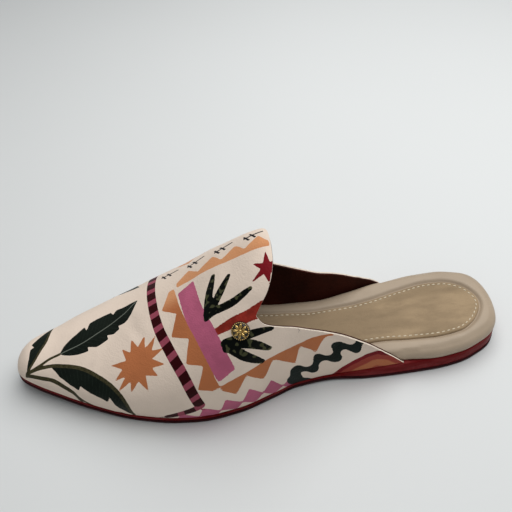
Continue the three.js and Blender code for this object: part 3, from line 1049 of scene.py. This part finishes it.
class Number:
    """A number worked out in a material's nodes; arithmetic on it adds Math nodes."""

    def __init__(self, tree, socket):
        self.tree, self.socket = tree, socket

    def math(self, operation, *others):
        """The outcome of a Math node that is fed this number and others, in that order."""
        node = self.tree.nodes.new("ShaderNodeMath")
        node.operation = operation
        for entry, value in zip(node.inputs, (self, *others)):
            if isinstance(value, Number):
                self.tree.links.new(value.socket, entry)
            else:
                entry.default_value = value
        return Number(self.tree, node.outputs[0])

    def __add__(self, other):
        return self.math("ADD", other)

    def __sub__(self, other):
        return self.math("SUBTRACT", other)

    def __mul__(self, other):
        return self.math("MULTIPLY", other)

    def __abs__(self):
        return self.math("ABSOLUTE")

    def __lt__(self, other):
        return self.math("LESS_THAN", other)

    def __gt__(self, other):
        return self.math("GREATER_THAN", other)

    def beat(self, pitch):
        """0 to 1 over and over, once in each pitch."""
        return (self * (1 / pitch)).math("FRACT")

    def ramp(self, low, high, start=0.0, end=1.0):
        """Goes smoothly from start to end as the number goes from low to high."""
        node = self.tree.nodes.new("ShaderNodeMapRange")
        node.interpolation_type = "SMOOTHSTEP"
        self.tree.links.new(self.socket, node.inputs["Value"])
        for name, value in (("From Min", low), ("From Max", high), ("To Min", start), ("To Max", end)):
            node.inputs[name].default_value = value
        return Number(self.tree, node.outputs[0])


class Finish:
    """A material built from a few named textures in the shoe's own millimetres."""

    def __init__(self, name, roughness, specular=0.3, **sockets):
        self.material = bpy.data.materials.new(name)
        self.material.use_nodes = True
        self.tree = self.material.node_tree
        self.shader = self.tree.nodes["Principled BSDF"]
        self.shader.inputs["Roughness"].default_value = roughness
        self.shader.inputs["Specular IOR Level"].default_value = specular
        for socket, value in sockets.items():
            self.shader.inputs[socket.replace("_", " ").title()].default_value = value
        self.place = self.tree.nodes.new("ShaderNodeTexCoord").outputs["Object"]

    def stretched(self, size):
        """Object coordinates scaled along each axis."""
        node = self.tree.nodes.new("ShaderNodeMapping")
        node.inputs["Scale"].default_value = size
        self.tree.links.new(self.place, node.inputs["Vector"])
        return node.outputs[0]

    def noise(self, grain, detail=3.0, rough=0.5, place=None):
        """Cloudy noise whose blots are about grain millimetres across."""
        node = self.tree.nodes.new("ShaderNodeTexNoise")
        node.inputs["Scale"].default_value = 1 / (grain * MM)
        node.inputs["Detail"].default_value = detail
        node.inputs["Roughness"].default_value = rough
        self.tree.links.new(place or self.place, node.inputs["Vector"])
        return Number(self.tree, node.outputs["Fac"])

    def cells(self, grain):
        """Distance to the middle of the nearest pebble, pebbles being grain millimetres wide."""
        node = self.tree.nodes.new("ShaderNodeTexVoronoi")
        node.inputs["Scale"].default_value = 1 / (grain * MM)
        self.tree.links.new(self.place, node.inputs["Vector"])
        return Number(self.tree, node.outputs["Distance"])

    def field(self, name):
        """One of the fields that the mesh carries, by name."""
        node = self.tree.nodes.new("ShaderNodeAttribute")
        node.attribute_name = name
        return Number(self.tree, node.outputs["Fac"])

    def mix(self, first, second, share):
        """One colour over another by a share that is a Number."""
        node = self.tree.nodes.new("ShaderNodeMix")
        node.data_type = "RGBA"
        self.tree.links.new(share.socket, node.inputs[0])
        for entry, colour in ((node.inputs[6], first), (node.inputs[7], second)):
            if isinstance(colour, bpy.types.NodeSocket):
                self.tree.links.new(colour, entry)
            else:
                entry.default_value = (*colour, 1)
        return node.outputs[2]

    def shade(self, colour, darker, share):
        """A colour that turns by a share to a darker tone of itself, or a lighter one above 1."""
        return self.mix(colour, tuple(part * darker for part in colour), share)

    def paint(self, colour):
        self.tree.links.new(colour, self.shader.inputs["Base Color"])

    def polish(self, roughness):
        self.tree.links.new(roughness.socket, self.shader.inputs["Roughness"])

    def relief(self, height, depth):
        """Bump of a depth in millimetres, on top of any relief that is there."""
        node = self.tree.nodes.new("ShaderNodeBump")
        node.inputs["Distance"].default_value = depth * MM
        self.tree.links.new(height.socket, node.inputs["Height"])
        entry = self.shader.inputs["Normal"]
        if entry.is_linked:
            self.tree.links.new(entry.links[0].from_socket, node.inputs["Normal"])
        self.tree.links.new(node.outputs[0], entry)


def leather_grain(finish, pebble, depth):
    """Fine pebbles with finer pores between them."""
    finish.relief(finish.cells(pebble), depth)
    finish.relief(finish.noise(pebble * 0.35, 4, 0.6), depth * 0.5)


class PrintedFinish(Finish):
    """Leather whose colour is painted over, one motif after another."""

    def __init__(self):
        super().__init__("printed_leather", 0.52, 0.06)
        self.ink = colours()
        self.cloud, self.fleck = self.noise(22, 4), self.noise(1.1, 3)
        self.edge = (self.noise(2.4, 3) - 0.5) * 0.9
        self.dry = (self.noise(1.2, 4, 0.7) - 0.5) * 2.2
        self.colour = tuple(self.ink.ground)

    def tint(self, paint, share):
        """Paints over all that is there by a share."""
        self.colour = self.mix(self.colour, tuple(paint), share)

    def motif(self, name, paint, ragged, darker, blots=None):
        """Paints one field's patch, blotted darker or lighter, and gives its share."""
        patch = (self.field(name) + ragged) < 0
        body = self.shade(tuple(paint), darker, (blots or self.cloud).ramp(0.35, 0.7))
        self.colour = self.mix(self.colour, body, patch)
        return patch


def printed_leather():
    """Ivory leather with the painted motifs, each a soft-edged patch of its own ink."""
    finish = PrintedFinish()
    finish.tint([part * 0.93 for part in finish.ink.ground], finish.cloud.ramp(0.4, 0.68))
    finish.tint(WORN_GROUND, finish.noise(3.5, 5, 0.7).ramp(0.66, 0.86, 0, 0.35))
    paint_front(finish)
    paint_band_and_plants(finish)
    paint_wing(finish)
    paint_ribbon(finish)
    finish.tint(COMB_INK, comb_marks(finish).math("MAXIMUM", finish.field("tick") < 0))
    finish.paint(finish.colour)
    finish.polish(finish.noise(12, 4).ramp(0.3, 0.7, 0.4, 0.54))
    leather_grain(finish, 0.85, 0.1)
    finish.relief(finish.noise(5.5, 4, 0.55), 0.22)
    return finish.material


def paint_front(finish):
    """Bunting with a painted highlight near the ridge, the starburst, and the leaves with veins, ribs and
    stems.
    """
    ink, edge = finish.ink, finish.edge
    bunting = finish.motif("bunting", ink.orange, finish.noise(5, 2) * 0.8 - 0.4, 0.86)
    # Painted highlight: the bunting turns lighter towards and over the ridge
    finish.tint(RIDGE_HIGHLIGHT_ORANGE, bunting * finish.field("print_down").ramp(-2, 9, 0.9, 0))
    finish.motif("starburst", ink.orange, edge * 0.6, 0.84)
    leaf = finish.motif("leaf", ink.leaf, edge * 0.5, 0.6)
    across, along = finish.field("rib_across"), finish.field("rib_along")
    vein = abs((along - abs(across) * 0.75).beat(VEIN_PITCH) - 0.5) < 0.09
    finish.tint(LEAF_VEIN, vein * leaf * finish.fleck.ramp(0.35, 0.6, 0, 0.25))
    finish.tint(LEAF_RIB, (abs(across) < 0.24) * leaf * 0.75)
    finish.motif("stem", ink.olive, edge * 0.3, 0.45, finish.fleck)


def paint_band_and_plants(finish):
    """The stripe and the band as dry brush marks, with the flecked plants over them."""
    finish.motif("stripe", STRIPE_RED, finish.dry * 0.5, 1.6, finish.noise(5, 3))
    finish.motif("band", finish.ink.orchid, finish.dry * 0.35, 0.84, finish.noise(9, 3))
    plant = finish.motif("plant", [part * 0.3 for part in finish.ink.leaf], finish.dry * 0.22, 0.6)
    finish.tint(PLANT_FLECK, plant * finish.noise(2.4, 1, 0.2).ramp(0.56, 0.62, 0, 0.75))


def paint_wing(finish):
    """Diamonds along the foot, the small star, and the wing's fan and scalloped border."""
    ink, edge = finish.ink, finish.edge
    finish.motif("diamond", ink.orchid, edge * 0.4, 0.8)
    finish.motif("small_star", ink.crimson, edge * 0.5, 0.8)
    fan = finish.motif("fan", ink.crimson, edge * 0.5, 0.75)
    inside = finish.field("fan") * -1 + finish.noise(6, 3) * 2.4
    finish.tint(FAN_RED, fan * inside.ramp(3.6, 4.4))
    finish.tint(FAN_ORANGE, fan * inside.ramp(7.4, 8.4) * inside.ramp(12, 14, 1, 0))
    finish.motif("scallop", SCALLOP_INK, edge * 0.25, 0.6)


def paint_ribbon(finish):
    """The checked ribbon round the vamp."""
    ribbon = abs(finish.field("ribbon_across")) < RIBBON_WIDTH / 2
    finish.tint(finish.ink.rose, ribbon)
    check = abs((finish.field("ribbon_along") + finish.edge * 0.3).beat(2 * CHECK) - 0.5) < 0.31
    finish.tint(finish.ink.maroon, ribbon * check)


def comb_marks(finish):
    """Small black combs in a row along the inner side of the ridge."""
    at = finish.field("print_at") - COMB_START[0] + COMB_STEP[0] / 2
    down = finish.field("print_down") - COMB_START[1] - at * (COMB_STEP[1] / COMB_STEP[0])
    x = at.beat(COMB_STEP[0]) * COMB_STEP[0] - COMB_STEP[0] / 2
    y = down - 1.6 - x * 0.3
    within = (abs(x) < COMB_HALF) * (at > 0) * (at < COMBS * COMB_STEP[0])
    back = (abs(y) < 0.55) * within
    teeth = abs((x + y * 0.45 + 4.2).beat(COMB_TOOTH) - 0.5) < 0.17
    return back.math("MAXIMUM", teeth * (abs(y - 0.4) < 2.7) * within * (x > -1.2))


def lining_leather():
    finish = Finish("lining_leather", 0.62, 0.1)
    cloud = finish.noise(14, 5, 0.6).ramp(0.35, 0.7)
    finish.paint(finish.shade(tuple(colours().lining), 0.55, cloud))
    leather_grain(finish, 0.7, 0.08)
    return finish.material


def cut_edge():
    finish = Finish("cut_edge", 0.8, 0.2)
    finish.paint(finish.shade(tuple(colours().cut_edge), 0.72, finish.noise(1.4, 4).ramp(0.4, 0.7)))
    finish.relief(finish.noise(0.4, 3), 0.08)
    return finish.material


def footbed_leather():
    """Smooth beige leather, a little darker where it is pressed and handled."""
    finish = Finish("footbed_leather", 0.47)
    cloud = finish.noise(26, 4).ramp(0.35, 0.7)
    base = finish.shade(tuple(colours().footbed), 0.9, cloud)
    pores = finish.noise(1.6, 5, 0.7).ramp(0.62, 0.85, 0, 0.3)
    finish.paint(finish.mix(base, tuple(part * 0.72 for part in colours().footbed), pores))
    finish.polish(finish.noise(10, 4).ramp(0.3, 0.7, 0.4, 0.54))
    leather_grain(finish, 0.6, 0.045)
    finish.relief(finish.noise(4, 4), 0.12)
    return finish.material


def sock_suede():
    """Taupe suede: nap brushed light and dark in patches, with short fibres."""
    finish = Finish("sock_suede", 0.93, 0.1, sheen_weight=0.12, sheen_roughness=0.5)
    suede = tuple(colours().sock)
    brushed = finish.noise(24, 3, 0.5, finish.stretched((0.5, 1.25, 1))).ramp(0.42, 0.6)
    small = finish.noise(8, 5, 0.65, finish.stretched((0.45, 1.2, 1))).ramp(0.4, 0.72)
    base = finish.mix(suede, tuple(part * 1.3 for part in suede), brushed)
    base = finish.mix(base, tuple(part * 0.72 for part in suede), small * 0.5)
    fibre = finish.noise(0.5, 4, 0.8)
    finish.paint(finish.mix(base, tuple(part * 0.6 for part in suede), fibre.ramp(0.5, 0.8, 0, 0.4)))
    finish.relief(fibre, 0.16)
    finish.relief(finish.noise(2.5, 3), 0.15)
    return finish.material


def cream_thread():
    finish = Finish("cream_thread", 0.7, 0.2)
    finish.paint(finish.shade(tuple(colours().thread), 0.7, finish.noise(0.5, 3).ramp(0.35, 0.7)))
    finish.relief(finish.noise(0.25, 2), 0.06)
    return finish.material


def midsole_red():
    """The painted and polished red edge, rubbed lighter in places."""
    finish = Finish("midsole_red", 0.36, 0.04)
    red = tuple(colours().midsole)
    rubbed = finish.noise(9, 5, 0.6, finish.stretched((0.5, 0.5, 2.2))).ramp(0.4, 0.72)
    lighter = tuple(min(part * 1.45 + 0.02, 1) for part in red)
    base = finish.mix(red, lighter, rubbed)
    finish.paint(finish.mix(base, tuple(part * 0.5 for part in red), finish.noise(1.8, 4).ramp(0.62, 0.85)))
    finish.polish(finish.noise(6, 4).ramp(0.3, 0.7, 0.26, 0.42))
    finish.relief(finish.noise(1.2, 4), 0.06)
    return finish.material


def outsole_red_painted_shade():
    """Red rubber painted nearly black as a painted contact shadow, with a pebbled wearing face and faint
    scuffs.
    """
    finish = Finish("outsole_red_painted_shade", 0.6, 0.1)
    # This near-black red is painted shade for the contact shadow, not a darker rubber
    red = tuple(colours().outsole)
    scuff = finish.noise(7, 6, 0.7, finish.stretched((0.35, 1.6, 1))).ramp(0.55, 0.8)
    base = finish.shade(red, 0.6, finish.noise(12, 3).ramp(0.4, 0.7))
    finish.paint(finish.mix(base, tuple(min(part * 2.2, 1) for part in red), scuff * 0.5))
    finish.relief(finish.cells(1.5), 0.14)
    return finish.material


def gilt_metal():
    finish = Finish("gilt_metal", 0.24, 0.5, metallic=1.0)
    tarnish = finish.noise(1.6, 4, 0.6).ramp(0.45, 0.75, 0, 0.6)
    finish.paint(finish.shade(tuple(colours().gilt), 0.5, tarnish))
    finish.relief(finish.noise(0.5, 3), 0.02)
    return finish.material


def stud_recess_shade():
    """Near-black painted shade on the stud's base behind the petals, a little cloudy."""
    finish = Finish("stud_recess_shade", 0.25, 0.5)
    finish.paint(finish.shade(RECESS_SHADE, 0.4, finish.noise(1.5, 3).ramp(0.4, 0.65)))
    finish.relief(finish.noise(0.6, 3), 0.02)
    return finish.material


def floor_paper():
    finish = Finish("floor_paper", 0.75, 0.2)
    finish.paint(finish.mix(*PAPER, finish.noise(260, 2)))
    return finish.material


# ---------------------------------------------------------------- the stage

FLOOR_SIZE = 6  # metres
ROOM_COLOUR = (0.97, 0.985, 1, 1)
ROOM_STRENGTH = 0.3
CAMERA_LENS = 45
CAMERA_AT = (0.0118, 0.21597, 0.2986)
CAMERA_RIGHT = (-0.99156, 0.117787, -0.05418)
CAMERA_UP = (-0.122018, -0.70654, 0.697075)


def floor_sheet():
    """A wide flat sheet of pale paper under the shoe."""
    floor = grid(1, 1)
    middle = Matrix.Translation((-0.5, -0.5, 0))
    bmesh.ops.transform(floor, matrix=Matrix.Scale(FLOOR_SIZE, 4) @ middle, verts=floor.verts)
    mesh = bpy.data.meshes.new("floor")
    floor.to_mesh(mesh)
    floor.free()
    mesh.materials.append(floor_paper())
    sheet = bpy.data.objects.new("floor", mesh)
    bpy.context.scene.collection.objects.link(sheet)
    return sheet


def soft_room():
    """Faint cool light from all round."""
    world = bpy.data.worlds.new("soft_room")
    bpy.context.scene.world = world
    world.use_nodes = True
    background = world.node_tree.nodes["Background"]
    background.inputs["Color"].default_value = ROOM_COLOUR
    background.inputs["Strength"].default_value = ROOM_STRENGTH


def softbox(name, spot, target, size, power):
    """A square area light that looks at a point."""
    light = bpy.data.lights.new(name, "AREA")
    light.shape = "SQUARE"
    light.size = size
    light.energy = power
    lamp = bpy.data.objects.new(name, light)
    look = Vector(target) - Vector(spot)
    lamp.matrix_world = Matrix.Translation(spot) @ look.to_track_quat("-Z", "Y").to_matrix().to_4x4()
    bpy.context.scene.collection.objects.link(lamp)


def viewing_camera():
    """A camera above the outer side that looks down at the shoe."""
    camera = bpy.data.cameras.new("viewing_camera")
    camera.lens = CAMERA_LENS
    camera.clip_start = 0.01
    viewer = bpy.data.objects.new("viewing_camera", camera)
    right, up = Vector(CAMERA_RIGHT), Vector(CAMERA_UP)
    turn = Matrix((right, up, right.cross(up))).transposed().to_4x4()
    viewer.matrix_world = Matrix.Translation(CAMERA_AT) @ turn
    bpy.context.scene.collection.objects.link(viewer)
    return viewer


# ---------------------------------------------------------------- operators

class SLIPPER_OT_sole(bpy.types.Operator):
    """Build the outsole and the midsole"""

    bl_idname = "slipper.sole"
    bl_label = "Sole"

    def execute(self, context):
        finish_piece(outsole_mesh(), "outsole_sheet", [outsole_red_painted_shade()], "outsole")
        finish_piece(midsole_mesh(), "midsole_board", [midsole_red()], "midsole")
        return {"FINISHED"}


class SLIPPER_OT_footbed(bpy.types.Operator):
    """Build the padded footbed, its suede sock and the sock's stitches"""

    bl_idname = "slipper.footbed"
    bl_label = "Footbed"

    def execute(self, context):
        bed = finish_piece(footbed_mesh(), "footbed_cover", [footbed_leather()], "footbed")
        finish_piece(sock_mesh(), "sock_pad", [sock_suede()], "footbed")
        finish_piece(stitches_mesh(), "sock_stitches", [cream_thread()], "footbed")
        return {"FINISHED"}


class SLIPPER_OT_upper(bpy.types.Operator):
    """Build the printed upper with its lining"""

    bl_idname = "slipper.upper"
    bl_label = "Upper"

    def execute(self, context):
        materials = [printed_leather(), lining_leather(), cut_edge()]
        finish_piece(upper_mesh(), "printed_upper", materials, "upper")
        return {"FINISHED"}


class SLIPPER_OT_stud(bpy.types.Operator):
    """Build the gilt rosette stud"""

    bl_idname = "slipper.stud"
    bl_label = "Stud"

    def execute(self, context):
        finish_piece(stud_mesh(), "rosette_stud", [gilt_metal(), stud_recess_shade()], "stud")
        return {"FINISHED"}


class SLIPPER_OT_stage(bpy.types.Operator):
    """Set the floor, the lights and the camera"""

    bl_idname = "slipper.stage"
    bl_label = "Stage"

    def execute(self, context):
        floor_sheet()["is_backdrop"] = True
        soft_room()
        softbox("softbox_over", spot=(-0.2, -0.15, 0.62), target=(0, 0, 0), size=0.8, power=5.1)
        context.scene.view_settings.view_transform = "Standard"
        context.scene.camera = viewing_camera()
        return {"FINISHED"}


class SLIPPER_PT_panel(bpy.types.Panel):
    """The slipper's pieces, sizes and colours"""

    bl_label = "Slipper"
    bl_idname = "SLIPPER_PT_panel"
    bl_space_type = "VIEW_3D"
    bl_region_type = "UI"
    bl_category = "Slipper"

    def draw(self, context):
        for group in (context.scene.slipper_sizes, context.scene.slipper_colours):
            box = self.layout.box()
            for name in type(group).__annotations__:
                box.prop(group, name)
        for operator in STEPS:
            self.layout.operator(operator.bl_idname)


STEPS = (
    SLIPPER_OT_stage, SLIPPER_OT_sole, SLIPPER_OT_footbed, SLIPPER_OT_upper, SLIPPER_OT_stud,
)
CLASSES = (SlipperSizes, SlipperColours, *STEPS, SLIPPER_PT_panel)


def register():
    for cls in CLASSES:
        bpy.utils.register_class(cls)
    bpy.types.Scene.slipper_sizes = bpy.props.PointerProperty(type=SlipperSizes)
    bpy.types.Scene.slipper_colours = bpy.props.PointerProperty(type=SlipperColours)


def unregister():
    del bpy.types.Scene.slipper_colours
    del bpy.types.Scene.slipper_sizes
    for cls in reversed(CLASSES):
        bpy.utils.unregister_class(cls)


def main():
    register()
    for operator in STEPS:
        family, call = operator.bl_idname.split(".")
        getattr(getattr(bpy.ops, family), call)()
    boxes = {"cad": CAD_BOX, "visual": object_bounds()}
    {name: [list(corner) for corner in box] for name, box in boxes.items()}


if __name__ == "__main__":
    main()
